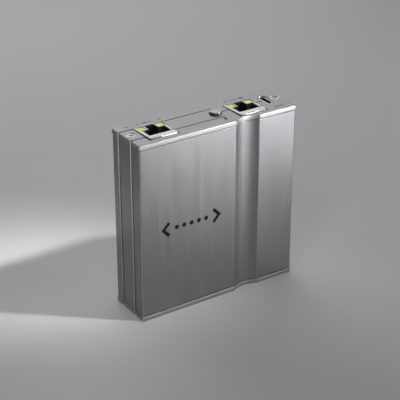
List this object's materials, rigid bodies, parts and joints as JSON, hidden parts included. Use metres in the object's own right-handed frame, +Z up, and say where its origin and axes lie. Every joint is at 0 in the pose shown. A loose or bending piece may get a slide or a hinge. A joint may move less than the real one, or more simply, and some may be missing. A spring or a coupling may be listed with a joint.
{
  "type": "inline network box",
  "caption": "Slim extruded-aluminium network box that stands on end, with sockets and a push button in its upper end plate and a flowing channel down the front.",
  "frame": {"origin": "middle of the footprint, on the surface that the box stands on", "axes": "+Z up along the extrusion towards the sockets, +X along the wide side, +Y from the front, which has the channel, to the rear"},
  "size_m": [0.09, 0.0254, 0.0952],
  "materials": {
    "case_metal": "grey anodised extrusion with a fine grain along its length",
    "plate_metal": "grey bead-blasted and anodised plate with soft bright edges",
    "screw_steel": "bright zinc-plated steel",
    "socket_metal": "nickel-plated pressed sheet",
    "socket_plastic": "black moulded insert",
    "lamp_plastic": "clear light pipe, lit yellow-green",
    "contact_gold": "gold flash on spring bronze",
    "power_socket_metal": "deep-drawn stainless steel",
    "power_socket_plastic": "black moulded tongue and core",
    "button_metal": "turned and anodised, crown left fine",
    "plunger_plastic": "natural acetal",
    "switch_plastic": "black moulded case",
    "board_laminate": "glass-epoxy board with a dark solder mask",
    "chip_plastic": "moulded epoxy package",
    "transformer_plastic": "potted black case",
    "coil_body": "pressed iron-powder block",
    "can_metal": "drawn aluminium can",
    "crystal_metal": "plated lid",
    "pad_silicone": "soft thermally conductive silicone",
    "film_plastic": "thin polyester film"
  },
  "bodies": {
    "housing": {"blank_end_plate": "plate_metal", "blank_plate_screws": "screw_steel", "body_sleeve": "case_metal", "can_capacitors": "can_metal", "clock_crystal": "crystal_metal", "flash_chip": "chip_plastic", "insulating_film": "film_plastic", "left_jack_contacts": "contact_gold", "left_jack_insert": "socket_plastic", "left_jack_lamps": "lamp_plastic", "left_jack_shell": "socket_metal", "main_board": "board_laminate", "memory_chips": "chip_plastic", "network_chips": "chip_plastic", "network_transformers": "transformer_plastic", "port_end_plate": "plate_metal", "port_plate_screws": "screw_steel", "power_coils": "coil_body", "power_regulator": "chip_plastic", "processor": "chip_plastic", "right_jack_contacts": "contact_gold", "right_jack_insert": "socket_plastic", "right_jack_lamps": "lamp_plastic", "right_jack_shell": "socket_metal", "switch_body": "switch_plastic", "thermal_pad": "pad_silicone", "usb_c_contacts": "contact_gold", "usb_c_insert": "power_socket_plastic", "usb_c_shell": "power_socket_metal"},
    "button": {"button_cap": "button_metal", "switch_plunger": "plunger_plastic"}
  },
  "joints": [
    {"name": "button_press", "type": "slide", "parent": "housing", "child": "button", "axis": [0, 0, -1], "range_m": [0, 0.0008], "stiffness_N_per_m": 2000, "springref_m": -0.0003}
  ]
}
